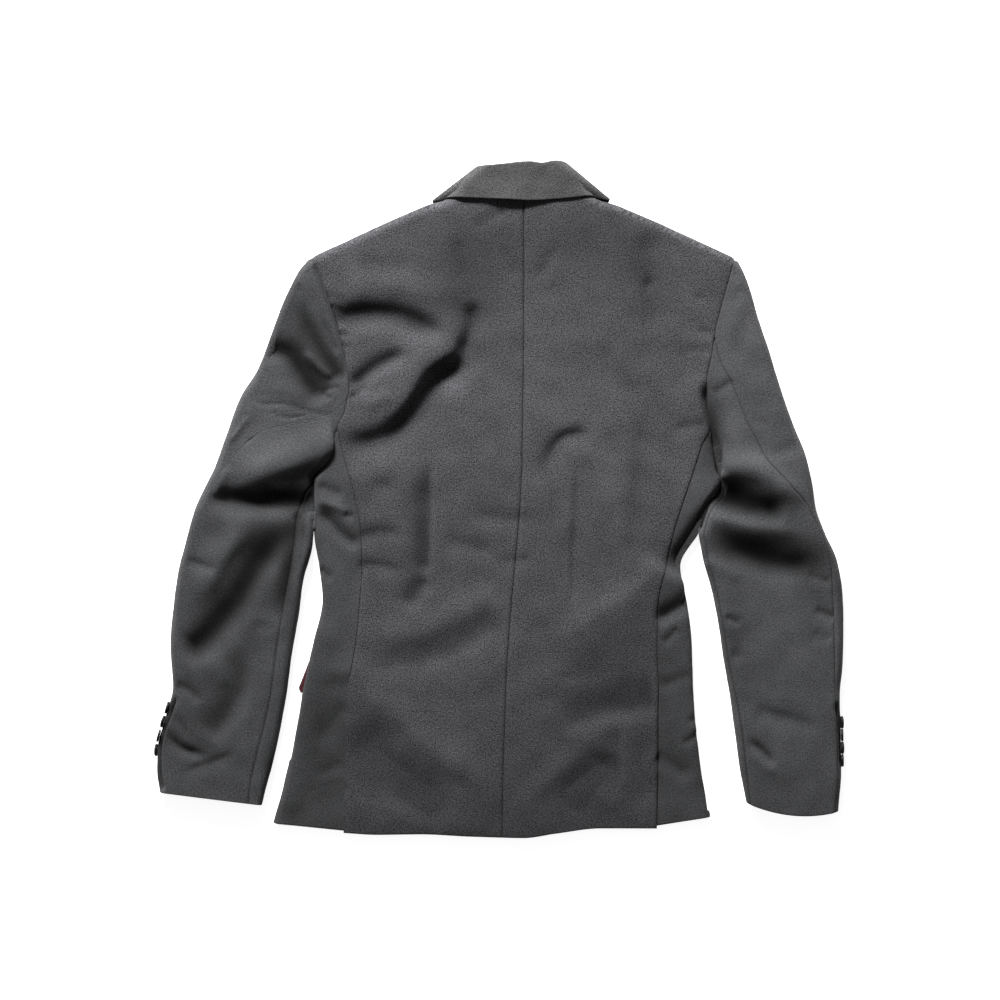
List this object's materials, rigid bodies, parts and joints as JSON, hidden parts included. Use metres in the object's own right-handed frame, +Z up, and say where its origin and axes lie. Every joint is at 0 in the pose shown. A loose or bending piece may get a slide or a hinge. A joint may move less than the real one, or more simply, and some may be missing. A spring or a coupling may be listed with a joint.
{
  "type": "blazer",
  "caption": "Tailored jacket laid flat on its front, back up: turned-down collar, centre back seam, side panels with double vents, two-piece sleeves with buttoned cuffs.",
  "frame": {"origin": "middle of the laid garment's bounding box, on the surface it lies on", "axes": "+Z up, out of the back of the jacket; +Y towards the collar; +X towards the wearer's right"},
  "size_m": [0.7586, 0.7442, 0.0304],
  "materials": {
    "suiting": "charcoal wool suiting, fine weave, matt",
    "flap_lining": "dark red lining, soft sheen",
    "horn_black": "black polished horn-like plastic"
  },
  "bodies": {
    "root": {"back_left": "suiting", "back_right": "suiting", "side_left": "suiting", "side_right": "suiting", "front_left": "suiting", "front_right": "suiting", "top_sleeve_left": "suiting", "top_sleeve_right": "suiting", "under_sleeve_left": "suiting", "under_sleeve_right": "suiting", "collar_fall": "suiting", "collar_stand": "suiting", "lapel_left": "suiting", "lapel_right": "suiting", "pocket_flap_left": "suiting", "pocket_flap_right": "suiting", "flap_lining_left": "flap_lining", "front_button_1": "horn_black", "front_button_2": "horn_black", "cuff_button_left_1": "horn_black", "cuff_button_left_2": "horn_black", "cuff_button_left_3": "horn_black", "cuff_button_left_4": "horn_black", "cuff_button_right_1": "horn_black", "cuff_button_right_2": "horn_black", "cuff_button_right_3": "horn_black", "cuff_button_right_4": "horn_black"}
  },
  "joints": []
}
